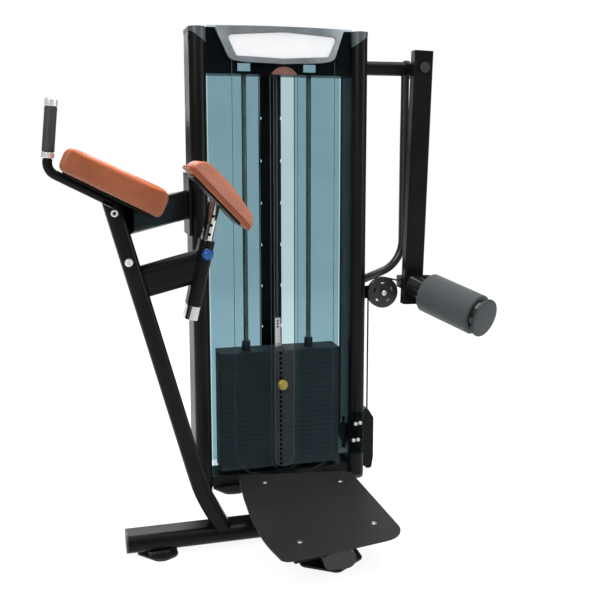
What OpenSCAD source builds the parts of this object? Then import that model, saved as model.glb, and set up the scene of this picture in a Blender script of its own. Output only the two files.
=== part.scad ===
// Standing glute kickback machine: weight tower, foot plate, forearm pad,
// adjustable chest pad and a swing arm with a foam roller.
// Frame: +X to the tower's right, +Y away from the user side, +Z up,
// origin on the floor under the middle of the machine's footprint. Millimetres.

/* [Tower] */
// Outside width of the tower over both posts
tower_w = 575; // [500:5:700]
// Depth of a flat-oval post
post_d = 156; // [120:2:200]
// Width of a flat-oval post
post_w = 53; // [40:1:70]
// Height of the tower's top line above the floor, 17 mm over the post caps
tower_h = 1500; // [1300:5:1700]
// Height of the underside of the top beam
beam_z = 1345; // [1200:5:1500]

/* [Weight stack] */
// Width of a weight plate
plate_w = 406; // [300:2:420]
// Depth of a weight plate
plate_d = 92; // [80:1:120]
// Height of one plate with its gap
plate_pitch = 16.4; // [12:0.1:30]
// Number of plates under the top plate
plate_count = 23; // [10:1:24]
// Plates lifted with the top plate at the pinned load
lifted_count = 6; // [0:1:20]
// Height of the lowest plate's underside
stack_z = 60; // [50:1:120]
// Guide rod distance from the middle
rod_x = 107; // [80:1:160]
// Guide rod radius
rod_r = 8; // [6:0.5:13]

/* [Swing arm] */
// Pivot height
pivot_z = 1376; // [1200:1:1450]
// Pivot distance to the right of the tower's middle
pivot_x = 477; // [400:1:560]
// Lean of the arm at rest
arm_lean = 1.6; // [0:0.2:10]
// Arm length below the pivot
arm_len = 776; // [600:1:850]
// Foam roller radius
roller_r = 66; // [45:1:80]
// Foam roller length
roller_len = 196; // [150:1:300]

/* [Stand] */
// Distance of the leg's plane in front of the tower's face
leg_y = 358; // [300:1:450]
// Height of the floor beams' underside
beam_low = 18; // [12:1:60]
// Height of a floor beam
beam_h = 50; // [40:1:80]
// Width of a floor beam
beam_w = 90; // [60:1:120]
// Top of the foot plate
step_z = 112; // [90:1:160]

/* [Hidden] */
tower_x = 39.93;
tower_y = 262.17;
post_x = tower_w / 2 - post_w / 2;
inner_x = tower_w / 2 - post_w;
mid_y = post_d / 2;
cap_z = tower_h - 17;
spine_y = 614;
plate_t = 5;
beam_mid = beam_low + beam_h / 2;
beam_top = beam_low + beam_h;
cover_r = 943;
cover_y = 925;
cable_r = 3;
side_px = 370;
side_pz = 626.5;
side_pr = 51;
low_px = 269;
low_pz = 140;
low_pr = 50;
arm_cz = 665;
top_pz = 1422;
top_pr = 48;
top_x1 = 48;
top_x2 = 171;
pin_z = stack_z + (plate_count - lifted_count + 0.5) * plate_pitch;
top_plate_z = stack_z + plate_count * plate_pitch;
roller_o = [475, -75, 646];
roller_yaw = 30;
roller_dip = 14.3;
sleeve_o = [-320, -leg_y, 786];
sleeve_lean = 12.7;
elbow_o = [-649, -513, 1118];
elbow_tilt = 24.66;
elbow_w = 180;
elbow_l = 274;
chest_o = [-348.8, -463, 1075.9];
chest_tilt = 46.6;
chest_w = 150;
chest_l = 224;
step_bolts = [[-113, -221], [110, -272], [109.65, -572.9], [-112.65, -627.1]];
leg_a = [-281, 79.5];
leg_b = [-328, 170];
leg_c = [-553, 993];
leg_bend = 350;
grip_bend = 34;
grip_lean = 21.6;
bar_r = 12.5;
bar_z = -18.4;
bar_x = -4.5;
bar_end = 158;
lanyard_pts = [[3, 65.5, 463], [8.5, 50, 461.5], [13, 34, 459.5], [15.5, 24, 453], [16, 19, 440],
               [16, 16, 420], [16, 13, 400], [15.5, 11, 385], [13, 9, 373], [8.5, 8, 365.6]];
gap = 0.3;
$fn = 64;

// ---------- helpers ----------
module placed() {
  translate([tower_x, tower_y, 0]) children();
}

// flat oval, w across X and d along Y
module oval(w, d) {
  if (d > w) {
    square([w, d - w], center = true);
    for (s = [-1, 1]) translate([0, s * (d - w) / 2]) circle(r = w / 2);
  } else {
    square([w - d, d], center = true);
    for (s = [-1, 1]) translate([s * (w - d) / 2, 0]) circle(r = d / 2);
  }
}

module oval_tube(w, d, t) {
  difference() {
    oval(w, d);
    oval(w - 2 * t, d - 2 * t);
  }
}

module round_rect(w, d, r) {
  square([w - 2 * r, d], center = true);
  square([w, d - 2 * r], center = true);
  for (i = [-1, 1], j = [-1, 1])
    translate([i * (w / 2 - r), j * (d / 2 - r)]) circle(r = r);
}

function unit(v) = v / norm(v);
function turn(a) = a > 180 ? a - 360 : (a < -180 ? a + 360 : a);
function corner(a, b, c, r, n) =
  let (u = unit(a - b), v = unit(c - b),
       half = acos(u * v) / 2,
       d = r / tan(half),
       m = b + unit(u + v) * r / sin(half),
       p = b + u * d - m,
       q = b + v * d - m,
       a0 = atan2(p.y, p.x),
       da = turn(atan2(q.y, q.x) - a0))
  [for (i = [0 : n]) m + r * [cos(a0 + da * i / n), sin(a0 + da * i / n)]];
// polygon with each corner rounded to its own radius
function rounded(p, r, n = 8) =
  [for (i = [0 : len(p) - 1])
    each corner(p[(i + len(p) - 1) % len(p)], p[i], p[(i + 1) % len(p)], r[i], n)];

// profile drawn in X and Z, extruded from y0 back to y1
module xz(y0, y1) {
  translate([0, y1, 0]) rotate([90, 0, 0]) linear_extrude(y1 - y0) children();
}

// straight round bar between two points
module rod(p, q, r) {
  v = q - p;
  translate(p) rotate([0, acos(v.z / norm(v)), atan2(v.y, v.x)])
    cylinder(h = norm(v), r = r);
}

// ring in the XZ plane, centred on y
module ring_y(x, z, y0, y1, ro, ri) {
  translate([x, y1, z]) rotate([90, 0, 0]) difference() {
    cylinder(h = y1 - y0, r = ro);
    translate([0, 0, -1]) cylinder(h = y1 - y0 + 2, r = ri);
  }
}

module disc_y(x, z, y0, y1, r) {
  translate([x, y1, z]) rotate([90, 0, 0]) cylinder(h = y1 - y0, r = r);
}

// pulley wheel with a groove for the cable and slots round its web
module pulley(x, z, rc, bore) {
  translate([x, mid_y, z]) rotate([90, 0, 0]) difference() {
    union() {
      cylinder(h = 20, r = rc - cable_r - 0.5, center = true);
      for (s = [-1, 1]) translate([0, 0, s * 8]) cylinder(h = 4, r = rc + 2, center = true);
    }
    cylinder(h = 30, r = bore, center = true);
    for (a = [0 : 72 : 359]) rotate([0, 0, a + 18]) translate([rc * 0.63, 0, 0])
      cube([5, 16, 30], center = true);
  }
}

// piece of cable bent in the XZ plane round a pulley
module bend_y(x, z, rc, a0, a1) {
  translate([x, mid_y, z]) rotate([90, 0, 0]) rotate([0, 0, a0])
    rotate_extrude(angle = a1 - a0) translate([rc, 0]) circle(r = cable_r);
}

// slice of the bowed cover shell, thickness t, between half-widths
module bow(front, z0, z1, t) {
  c = front ? cover_y : post_d - 12 + 30 - cover_r;
  intersection() {
    translate([0, c, z0]) difference() {
      cylinder(h = z1 - z0, r = cover_r, $fn = 360);
      translate([0, 0, -1]) cylinder(h = z1 - z0 + 2, r = cover_r - t, $fn = 360);
    }
    translate([-inner_x + 1.5, front ? -40 : mid_y, z0 - 1])
      cube([2 * inner_x - 3, front ? 80 : 140, z1 - z0 + 2]);
  }
}

module arm_frame() {
  translate([pivot_x, 0, pivot_z]) rotate([0, arm_lean, 0]) children();
}

// local +Z runs out along the roller's axis
module roller_frame() {
  translate(roller_o) rotate([0, 0, roller_yaw - 90])
    rotate([0, 90 + roller_dip, 0]) children();
}

module sleeve_frame() {
  translate(sleeve_o) rotate([0, sleeve_lean, 0]) children();
}

module elbow_frame() {
  translate(elbow_o) rotate([0, elbow_tilt, 0]) children();
}

module chest_frame() {
  translate(chest_o) rotate([0, chest_tilt, 0]) children();
}

// ---------- floor frame ----------
module spine_beam() {
  color([0.06, 0.06, 0.065]) placed() {
    translate([0, -25, beam_mid]) rotate([90, 0, 0])
      linear_extrude(spine_y - 25) oval_tube(beam_w, beam_h, 3);
    translate([-40, -28, beam_low]) cube([80, 3, beam_h]);
    translate([-30, -25, beam_low + 1]) cube([60, 52.8, 26]);
  }
}

module front_beam() {
  color([0.06, 0.06, 0.065]) placed() difference() {
    translate([-533, -leg_y, beam_mid]) rotate([90, 0, 90])
      linear_extrude(533 - 30) oval_tube(beam_w, beam_h, 3);
    translate([0, 100, beam_mid]) rotate([90, 0, 0])
      linear_extrude(800) oval(beam_w + 2 * gap, beam_h + 2 * gap);
    translate([-30, -leg_y - 60, 0]) cube([100, 120, 100]);
  }
}

module beam_caps() {
  color([0.03, 0.03, 0.03]) placed() {
    translate([-533, -leg_y, beam_mid]) rotate([90, 0, -90]) {
      linear_extrude(5) oval(beam_w, beam_h);
      translate([0, 0, -18]) linear_extrude(18) oval_tube(beam_w - 6.4, beam_h - 6.4, 2.5);
    }
    translate([0, -spine_y, beam_mid]) rotate([90, 0, 0]) {
      linear_extrude(5) oval(beam_w, beam_h);
      translate([0, 0, -18]) linear_extrude(18) oval_tube(beam_w - 6.4, beam_h - 6.4, 2.5);
    }
  }
}

// shaped foot: a flat pad with a raised block, bottom at z = 0
module foot(pts, r, bx, by, bw, bd, h) {
  linear_extrude(7) polygon(rounded(pts, r));
  translate([bx - bw / 2, by - bd / 2, 6]) cube([bw, bd, h - 6]);
}

module rubber_feet() {
  tip = [[-512, -358], [-450, -427], [-398, -398], [-398, -318], [-450, -289]];
  toe = [[0, -609], [88, -548], [88, -492], [0, -431], [-88, -492], [-88, -548]];
  tow = [[-232, 38], [-196, -22], [-150, -26], [-112, 10], [-112, 66], [-150, 102], [-196, 98]];
  h = beam_low - gap;
  color([0.05, 0.05, 0.05]) placed() {
    foot(tip, [14, 30, 26, 26, 30], -450, -358, 60, 70, h);
    foot(toe, [20, 20, 20, 20, 20, 20], 0, -520, 70, 60, h);
    for (s = [0, 1]) mirror([s, 0, 0])
      foot(tow, [12, 30, 30, 24, 24, 30, 30], -172, 66, 60, 50, 11.7);
    for (s = [-1, 1]) translate([s * post_x, mid_y, 0])
      linear_extrude(12) oval(post_w - 1, post_d - 1);
  }
}

module foot_plate() {
  pts = [[-181, -145], [-197, -309], [-206, -466], [-200, -610], [-178, -717], [2, -692],
         [171, -661], [166, -195]];
  color([0.2, 0.2, 0.21]) placed() difference() {
    translate([0, 0, step_z - plate_t]) linear_extrude(plate_t)
      polygon(rounded(pts, [30, 300, 700, 600, 22, 800, 72, 35]));
    for (b = step_bolts) translate([b.x, b.y, step_z - 20]) cylinder(h = 30, r = 5);
  }
}

module plate_risers() {
  color([0.06, 0.06, 0.065]) placed()
    for (i = [0, 1]) {
      a = i == 0 ? -12.9 : 13.7;
      y = i == 0 ? -246.5 : -600;
      translate([-1.5, y, beam_top]) rotate([0, 0, a]) difference() {
        translate([-140, -22, 0]) cube([280, 44, step_z - plate_t - beam_top]);
        for (s = [-1, 1]) translate([s * 114.4, 0, -1]) cylinder(h = 50, r = 5);
        translate([-132, -17, -1]) cube([264, 34, step_z - plate_t - 4 - beam_top]);
      }
    }
}

// ---------- tower ----------
module post_body(s) {
  translate([s * post_x, mid_y, 12]) linear_extrude(cap_z - 12)
    oval_tube(post_w, post_d, 3);
}

// sloping cut that parts a post from its cap
module cap_cut(s) {
  translate([s * post_x, 0, cap_z - 30]) rotate([0, s * -35, 0])
    translate([-80, -10, 0]) cube([160, post_d + 20, 120]);
}

module left_post() {
  color([0.06, 0.06, 0.065]) placed() difference() {
    post_body(-1);
    cap_cut(-1);
  }
}

module right_post() {
  color([0.06, 0.06, 0.065]) placed() difference() {
    post_body(1);
    cap_cut(1);
    translate([low_px, mid_y, low_pz])
      cube([post_w + 40, 26, 2 * low_pr + 12], center = true);
    disc_y(low_px, low_pz, -10, 200, 8.05);
  }
}

module post_caps() {
  color([0.5, 0.55, 0.58]) placed()
    for (s = [-1, 1]) {
      difference() {
        intersection() {
          translate([s * post_x, mid_y, 1300]) linear_extrude(cap_z - 1300)
            oval(post_w + 2, post_d + 2);
          translate([s * post_x, 0, cap_z - 30]) rotate([0, s * -35, 0])
            translate([-80, -10, 0.2]) cube([160, post_d + 20, 120]);
        }
        translate([-inner_x - 0.1, 29, 1300]) cube([2 * inner_x + 0.2, 98, 300]);
      }
      intersection() {
        translate([s * post_x, mid_y, 1300]) linear_extrude(140)
          oval(post_w - 6.4, post_d - 6.4);
        translate([s * post_x, 0, cap_z - 30]) rotate([0, s * -35, 0])
          translate([-80, -10, -25]) cube([160, post_d + 20, 25.3]);
      }
    }
}

module base_beam() {
  color([0.06, 0.06, 0.065]) placed() difference() {
    translate([-inner_x + 0.1, 28, 12]) cube([2 * inner_x - 0.2, 100, 34]);
    translate([-inner_x - 5, 31, 15]) cube([2 * inner_x + 10, 94, 28]);
    for (s = [-1, 1]) translate([s * rod_x, mid_y, 20]) cylinder(h = 60, r = rod_r + 0.02);
  }
}

module top_beam() {
  z1 = tower_h - 16;
  color([0.05, 0.055, 0.06]) placed() difference() {
    translate([-inner_x + 0.1, 30, beam_z]) cube([2 * inner_x - 0.2, 96, z1 - beam_z]);
    translate([-inner_x - 5, 34, beam_z + 5]) cube([2 * inner_x + 10, 88, z1 - beam_z - 9]);
    for (x = [-115, 97]) {
      translate([x - 20.5, 20, beam_z + 9]) cube([41, 30, 24]);
      translate([x - 10, 100, beam_z + 14]) cube([70, 40, 34]);
    }
    for (s = [-1, 1]) translate([s * rod_x, mid_y, beam_z - 5])
      cylinder(h = 12, r = rod_r + 0.02);
    translate([0, mid_y, beam_z - 5]) cylinder(h = 15, r = 12);
    translate([top_x2 + top_pr, mid_y, beam_z - 5]) cylinder(h = 15, r = 8);
  }
}

module pulley_hanger() {
  color([0.06, 0.06, 0.065]) placed() {
    for (y = [mid_y - 17, mid_y + 13])
      translate([10, y, top_pz - 16])
        cube([top_x1 + top_x2 - 20, 4, tower_h - 20.2 - top_pz + 16]);
    for (x = [top_x1, top_x2]) disc_y(x, top_pz, mid_y - 20, mid_y + 20, 7.99);
  }
}

module top_pulley_left() {
  color([0.04, 0.04, 0.04]) placed() pulley(top_x1, top_pz, top_pr, 8.05);
}

module top_pulley_right() {
  color([0.04, 0.04, 0.04]) placed() pulley(top_x2, top_pz, top_pr, 8.05);
}

module front_cover() {
  color([0.45, 0.62, 0.68, 0.45]) placed() difference() {
    bow(true, 58, tower_h - 13, 3);
    xz(-60, 60) polygon(rounded([[-32, 78], [34, 78], [34, 1376], [-32, 1376]],
      [28, 28, 30, 30]));
  }
}

module rear_covers() {
  color([0.45, 0.62, 0.68, 0.45]) placed() difference() {
    bow(false, 58, beam_z + 60, 3);
    translate([-37, 0, 0]) cube([74, 300, 1600]);
  }
}

module rear_upright() {
  w = 71;
  y = post_d + 8;
  color([0.05, 0.05, 0.055]) placed() difference() {
    translate([-w / 2, y, 12]) cube([w, 26, 1370]);
    translate([-w / 2 + 3, y + 3, 11]) cube([w - 6, 30, 1372]);
    for (z = [511 : 140.6 : 1300], s = [-1, 1])
      translate([s * w / 2, y - 5, z]) rotate([-90, 0, 0]) cylinder(h = 14, r = 5.5);
  }
  color([0.05, 0.05, 0.055]) placed() {
    translate([-28, 128.2, 13]) cube([56, y - 128.2, 32]);
    translate([-28, 126.2, beam_z + 2]) cube([56, y - 126.2, 30]);
  }
}

module shroud() {
  o = [[-213, tower_h - 16], [-168, 1384], [-120, 1377], [0, 1373], [120, 1379],
       [164, 1387], [198, tower_h - 16]];
  i = [[-178, tower_h - 41], [-148, 1395], [0, 1388], [146, 1397], [176, tower_h - 41],
       [0, tower_h - 31]];
  color([0.62, 0.66, 0.68]) placed() intersection() {
    difference() {
      xz(-60, 60) polygon(rounded(o, [4, 26, 40, 200, 40, 26, 4]));
      xz(-70, 70) polygon(rounded(i, [10, 8, 300, 8, 10, 300]));
    }
    translate([0, cover_y, 1300]) difference() {
      cylinder(h = 250, r = cover_r + 14, $fn = 360);
      translate([0, 0, -1]) cylinder(h = 252, r = cover_r + gap, $fn = 360);
    }
  }
}

module shroud_panel() {
  i = [[-177, tower_h - 42], [-147.5, 1396], [0, 1389], [145.5, 1398], [175, tower_h - 42],
       [0, tower_h - 32]];
  color([0.95, 0.95, 0.95]) placed() intersection() {
    xz(-60, 60) polygon(rounded(i, [9.5, 7.5, 300, 7.5, 9.5, 300]));
    translate([0, cover_y, 1300]) difference() {
      cylinder(h = 250, r = cover_r + 9, $fn = 360);
      translate([0, 0, -1]) cylinder(h = 252, r = cover_r + gap, $fn = 360);
    }
  }
}

// textured half-round piece that closes the head of the slot
module slot_cap() {
  color([0.55, 0.36, 0.32]) placed() intersection() {
    xz(-60, 60) intersection() {
      translate([1, 1318]) circle(r = 47.5);
      translate([-60, 1341.5]) square([120, 40]);
    }
    translate([0, cover_y, 1300]) difference() {
      cylinder(h = 250, r = cover_r + 6, $fn = 360);
      translate([0, 0, -1]) cylinder(h = 252, r = cover_r + gap, $fn = 360);
    }
  }
}

// ---------- weight stack ----------
module guide_rods() {
  color([0.75, 0.76, 0.78]) placed()
    for (s = [-1, 1]) translate([s * rod_x, mid_y, 43.2])
      cylinder(h = beam_z + 5 - 43.4, r = rod_r);
}

module stack_bumpers() {
  color([0.04, 0.04, 0.04]) placed()
    for (s = [-1, 1]) translate([s * rod_x, mid_y, 46]) difference() {
      cylinder(h = stack_z - 46.2, r = 24);
      translate([0, 0, -1]) cylinder(h = 30, r = rod_r + 0.05);
    }
}

module weight(z, t, stem_r) {
  translate([0, mid_y, z]) difference() {
    linear_extrude(t) round_rect(plate_w, plate_d, 4);
    for (s = [-1, 1]) translate([s * rod_x, 0, -1]) cylinder(h = t + 2, r = rod_r + 0.08);
    translate([0, 0, -1]) cylinder(h = t + 2, r = stem_r);
    translate([0, 10, t / 2]) rotate([90, 0, 0]) cylinder(h = 100, r = 5.05);
  }
}

module resting_plates() {
  color([0.1, 0.1, 0.1]) placed()
    for (i = [0 : plate_count - lifted_count - 1])
      weight(stack_z + i * plate_pitch, plate_pitch - 0.6, 13);
}

module lifted_plates() {
  color([0.1, 0.1, 0.1]) placed()
    for (i = [plate_count - lifted_count : plate_count - 1])
      weight(stack_z + i * plate_pitch, plate_pitch - 0.6, 13);
}

module top_plate() {
  color([0.1, 0.1, 0.1]) placed() weight(top_plate_z, 18, 10.02);
}

module plate_bushings() {
  color([0.05, 0.05, 0.05]) placed()
    for (s = [-1, 1]) translate([s * rod_x, mid_y, top_plate_z + 18]) difference() {
      cylinder(h = 30, r = 14);
      translate([0, 0, -1]) cylinder(h = 32, r = rod_r + 0.08);
    }
}

module selector_stem() {
  color([0.72, 0.73, 0.74]) placed() difference() {
    union() {
      translate([0, mid_y, stack_z + 4]) cylinder(h = top_plate_z + 18 - stack_z - 4, r = 10);
      translate([-10, mid_y - 10, top_plate_z + 18]) cube([20, 20, 14]);
      translate([-9.5, mid_y - 4, top_plate_z + 32]) cube([19, 8, 88]);
    }
    for (i = [0 : plate_count])
      translate([0, mid_y + 20, stack_z + (i + 0.5) * plate_pitch - 0.3])
        rotate([90, 0, 0]) cylinder(h = 40, r = 5.05);
    for (z = [90, 100, 110])
      translate([0, mid_y + 20, top_plate_z + z]) rotate([90, 0, 0]) cylinder(h = 40, r = 3.5);
  }
}

module selector_pin() {
  color([0.75, 0.75, 0.77]) placed()
    translate([0, mid_y + 8, pin_z - 0.3]) rotate([90, 0, 0])
      cylinder(h = mid_y + 8 - 6, r = 4.97);
}

module pin_knob() {
  color([0.9, 0.8, 0.15]) placed() difference() {
    translate([0, 18, pin_z - 0.3]) rotate([90, 0, 0]) union() {
      cylinder(h = 6, r = 13);
      translate([0, 0, 6]) cylinder(h = 14, r = 17);
      translate([0, 0, 20]) cylinder(h = 4, r = 14);
    }
    translate([0, 30, pin_z - 0.3]) rotate([90, 0, 0]) cylinder(h = 24.1, r = 5);
  }
}

// coiled keeper line from the stem to the pin
module lanyard() {
  r = 1.8;
  n = len(lanyard_pts);
  k = 8;
  function dir(i) = unit(lanyard_pts[min(i + 1, n - 1)] - lanyard_pts[max(i - 1, 0)]);
  function side(i) = unit(cross(dir(i), [1, 0.2, 0]));
  function up(i) = cross(side(i), dir(i));
  pts = [for (i = [0 : n - 1], j = [0 : k - 1])
    lanyard_pts[i] + r * (cos(j * 360 / k) * side(i) + sin(j * 360 / k) * up(i))];
  walls = [for (i = [0 : n - 2], j = [0 : k - 1])
    [i * k + j, i * k + (j + 1) % k, (i + 1) * k + (j + 1) % k, (i + 1) * k + j]];
  ends = [[for (j = [k - 1 : -1 : 0]) j], [for (j = [0 : k - 1]) (n - 1) * k + j]];
  color([0.1, 0.1, 0.1]) placed() polyhedron(pts, concat(walls, ends), convexity = 4);
}

// ---------- cable and pulleys ----------
module main_cable() {
  xl = side_px - side_pr;
  xi = low_px - low_pr;
  color([0.08, 0.08, 0.08]) placed() {
    bend_y(side_px, side_pz, side_pr, 76, 180);
    translate([xl, mid_y, low_pz]) cylinder(h = side_pz - low_pz, r = cable_r);
    bend_y(low_px, low_pz, low_pr, 180, 360);
    translate([xi, mid_y, low_pz]) cylinder(h = top_pz - low_pz, r = cable_r);
    bend_y(top_x2, top_pz, top_pr, 0, 90);
    translate([top_x1, mid_y, top_pz + top_pr]) rotate([0, 90, 0])
      cylinder(h = top_x2 - top_x1, r = cable_r);
    bend_y(top_x1, top_pz, top_pr, 90, 180);
  }
}

module stack_cable() {
  z0 = top_plate_z + 120.2;
  color([0.08, 0.08, 0.08]) placed() translate([0, mid_y, z0])
    cylinder(h = top_pz - gap - z0, r = cable_r);
}

// short run that leaves the side pulley on its tangent and reaches the arm
module arm_cable() {
  r = side_pr;
  color([0.08, 0.08, 0.08]) placed()
    rod([side_px + r * cos(76) + 0.4, mid_y, side_pz + r * sin(76) - 0.1],
      [427, mid_y, side_pz + r * sin(76) - (427 - side_px - r * cos(76)) / tan(76)], cable_r);
}

module side_pulley() {
  color([0.05, 0.05, 0.05]) placed() pulley(side_px, side_pz, side_pr, 8.05);
}

module side_bracket() {
  color([0.06, 0.06, 0.065]) placed() {
    difference() {
      union() {
        translate([tower_w / 2 + 0.2, 93, side_pz - 22]) cube([95, 6, 44]);
        translate([tower_w / 2 + 0.2, 52, side_pz - 36]) cube([6, 52, 54]);
      }
      disc_y(side_px, side_pz, 80, 110, 7.99);
    }
    disc_y(side_px, side_pz, mid_y - 13, 100, 7.99);
    disc_y(side_px, side_pz, mid_y - 18, mid_y - 13, 10);
  }
}

module lower_pulley() {
  color([0.05, 0.05, 0.05]) placed() pulley(low_px, low_pz, low_pr, 8.05);
}

// side plates that carry the lower pulley and shield the cable outside the post
module lower_guard() {
  pts = [[287.7, 224], [317, 222], [337, 190], [337, 48], [331, 8], [314, 8], [287.7, 30]];
  in = [[280, 228], [315, 218], [333, 189], [333, 49], [328, 12], [316, 12], [280, 40]];
  color([0.05, 0.05, 0.05]) placed() {
    for (y = [mid_y - 19, mid_y + 15]) xz(y, y + 4)
      polygon(rounded(pts, [6, 10, 14, 30, 9, 9, 10]));
    difference() {
      xz(mid_y - 16, mid_y + 16) difference() {
        polygon(rounded(pts, [6, 10, 14, 30, 9, 9, 10]));
        polygon(rounded(in, [6, 8, 12, 26, 6, 6, 8]));
      }
      translate([low_px + low_pr, mid_y, 150]) cylinder(h = 100, r = cable_r + 1);
    }
    disc_y(low_px, low_pz, 9, post_d + 4, 7.99);
    disc_y(low_px, low_pz, post_d, post_d + 7, 12);
  }
}

module guard_window() {
  color([0.3, 0.45, 0.5, 0.6]) placed() intersection() {
    translate([post_x, post_w / 2, 88]) difference() {
      cylinder(h = 145, r = post_w / 2 + 4);
      translate([0, 0, -1]) cylinder(h = 150, r = post_w / 2 + gap);
    }
    translate([post_x - 24, -20, 0]) cube([49, 30, 300]);
  }
}

module frame_bolts() {
  color([0.85, 0.85, 0.86]) placed() {
    for (p = [[250, 195], [266, 197], [243, 138], [259, 139]])
      disc_y(p.x, p.y, -11.3, -4.3, 6.5);
    for (b = step_bolts) translate([b.x, b.y, step_z - 30]) {
      translate([0, 0, 30]) cylinder(h = 3, r = 9);
      cylinder(h = 30.5, r = 4.9);
    }
    ring_y(-543, 953, -leg_y - 43, -leg_y - 40.2, 9.5, 4);
    disc_y(-510, 824, -leg_y - 44, -leg_y - 40.2, 12);
    disc_y(side_px, side_pz, mid_y - 22, mid_y - 18, 9);
  }
}

// ---------- swing arm ----------
module pivot_bracket() {
  color([0.06, 0.06, 0.065]) placed() difference() {
    union() {
      translate([tower_w / 2 + 0.2, mid_y, pivot_z]) rotate([0, 90, 0])
        cylinder(h = pivot_x - tower_w / 2 - 20, r = 23);
      translate([pivot_x - 40, mid_y, pivot_z]) rotate([0, 90, 0]) cylinder(h = 14, r = 28);
      disc_y(pivot_x, pivot_z, mid_y - 34, mid_y + 34, 30);
    }
    disc_y(pivot_x, pivot_z, 0, 200, 12.55);
    translate([tower_w / 2 - 5, mid_y, pivot_z]) rotate([0, 90, 0])
      cylinder(h = pivot_x - tower_w / 2 - 40, r = 19);
  }
}

module brace() {
  x = 441;
  r = 14;
  rb = 110;
  t = rb * tan(35);
  zc = 726;
  e = [x - rb + rb * cos(70), zc + t - rb * sin(70)];
  color([0.13, 0.13, 0.12]) placed() difference() {
    union() {
      translate([x, mid_y, zc + t - 1]) cylinder(h = pivot_z - zc - t, r = r);
      translate([x - rb, mid_y, zc + t]) rotate([90, 0, 0]) rotate([0, 0, -70])
        rotate_extrude(angle = 70) translate([rb, 0]) circle(r = r - 0.1);
      translate([e.x, mid_y, e.y]) rotate([0, -110, 0]) translate([0, 0, -1])
        cylinder(h = 121, r = r);
    }
    translate([tower_w / 2 - 99.8, 0, 500]) cube([100, 200, 400]);
    translate([200, mid_y, pivot_z]) rotate([0, 90, 0]) cylinder(h = 300, r = 23 + gap);
    translate([pivot_x - 41, mid_y, pivot_z]) rotate([0, 90, 0]) cylinder(h = 16, r = 28 + gap);
    disc_y(pivot_x, pivot_z, 0, 200, 30 + gap);
  }
}

module pivot_shaft() {
  color([0.05, 0.05, 0.05]) placed() {
    disc_y(pivot_x, pivot_z, 0, mid_y + 34.5, 12.5);
    disc_y(pivot_x, pivot_z, -6, 0, 17);
    disc_y(pivot_x, pivot_z, mid_y + 34.5, mid_y + 40, 20);
  }
}

module swing_arm() {
  color([0.06, 0.06, 0.065]) placed() {
    difference() {
      union() {
        arm_frame() translate([-2, 20, -arm_len]) linear_extrude(arm_len + 54)
          difference() {
            round_rect(65, 39, 5);
            round_rect(59, 33, 3);
          }
        arm_frame() translate([-2, 20, 51]) linear_extrude(3) round_rect(63, 37, 4);
      }
      disc_y(pivot_x, pivot_z, -5, 60, 12.52);
    }
    difference() {
      translate([427, 39.4, 642]) cube([24, 52, 40]);
      translate([426, mid_y, arm_cz]) rotate([0, 90, 0]) cylinder(h = 30, r = cable_r + 0.5);
    }
  }
}

module arm_bracket() {
  color([0.05, 0.05, 0.05]) placed() arm_frame() difference() {
    translate([-50.5, -32, -arm_len]) cube([101, 31.7, 94]);
    translate([-44.5, -26, -arm_len - 10]) cube([89, 20, 98]);
  }
}

module roller_axle() {
  color([0.4, 0.4, 0.4]) placed() {
    intersection() {
      roller_frame() translate([0, 0, -70]) cylinder(h = 66, r = 36);
      translate([300, -200, 500]) cube([400, 167.8, 300]);
    }
    roller_frame() translate([0, 0, -4]) cylinder(h = roller_len + 22, r = 15.95);
  }
}

module roller_foam() {
  color([0.32, 0.36, 0.38]) placed() roller_frame() difference() {
    cylinder(h = roller_len, r = roller_r);
    translate([0, 0, -1]) cylinder(h = roller_len + 2, r = 16);
  }
}

module roller_caps() {
  color([0.33, 0.38, 0.4]) placed() roller_frame() {
    translate([0, 0, roller_len + 0.2]) difference() {
      cylinder(h = 21, r = 52);
      translate([0, 0, -1]) cylinder(h = 18.8, r = 16);
    }
    translate([0, 0, roller_len + 21.2]) cylinder(h = 9, r = 62);
  }
}

// ---------- leg and pads ----------
module leg_part(p, q) {
  d = q - p;
  translate([p.x, -leg_y, p.y]) rotate([0, atan2(d.x, d.y), 0])
    linear_extrude(norm(d)) children();
}

// the leg's centreline: straight, a large bend, straight
module leg_line() {
  u1 = unit(leg_c - leg_b);
  u2 = unit(leg_a - leg_b);
  a1 = atan2(-u1.x, u1.y);
  a2 = atan2(u2.x, -u2.y);
  t = leg_bend * tan((a2 - a1) / 2);
  m = leg_b + u1 * t + leg_bend * [cos(a1), sin(a1)];
  leg_part(leg_b + u1 * (t - 1), leg_c) round_rect(46, 80, 16);
  leg_part(leg_a + u2 * 45, leg_b + u2 * (t - 1)) round_rect(46, 80, 16);
  translate([m.x, -leg_y, m.y]) rotate([90, 0, 0]) rotate([0, 0, 180 + a1])
    rotate_extrude(angle = a2 - a1, $fn = 360) translate([leg_bend, 0])
      round_rect(45.8, 79.8, 15.9, $fn = 64);
}

// everything to the left of the leg's right face, beside the leg
module leg_side() {
  leg_part(leg_b, leg_c) translate([-300, -40 - gap]) square([323 + gap, 80 + 2 * gap]);
}

module leg() {
  color([0.06, 0.06, 0.065]) placed() difference() {
    leg_line();
    translate([-600, -leg_y - 100, -100]) cube([600, 200, beam_mid + 109]);
    translate([-560, -leg_y, beam_mid]) rotate([90, 0, 90])
      linear_extrude(560) oval(beam_w + 2 * gap, beam_h + 2 * gap);
    rest_frame() translate([-60, -100, bar_z - bar_r - 0.6])
      cube([60 + bar_end + 0.6, 200, 200]);
    rest_frame() translate([-60, -100, -7]) cube([500, 200, 200]);
  }
}

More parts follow.
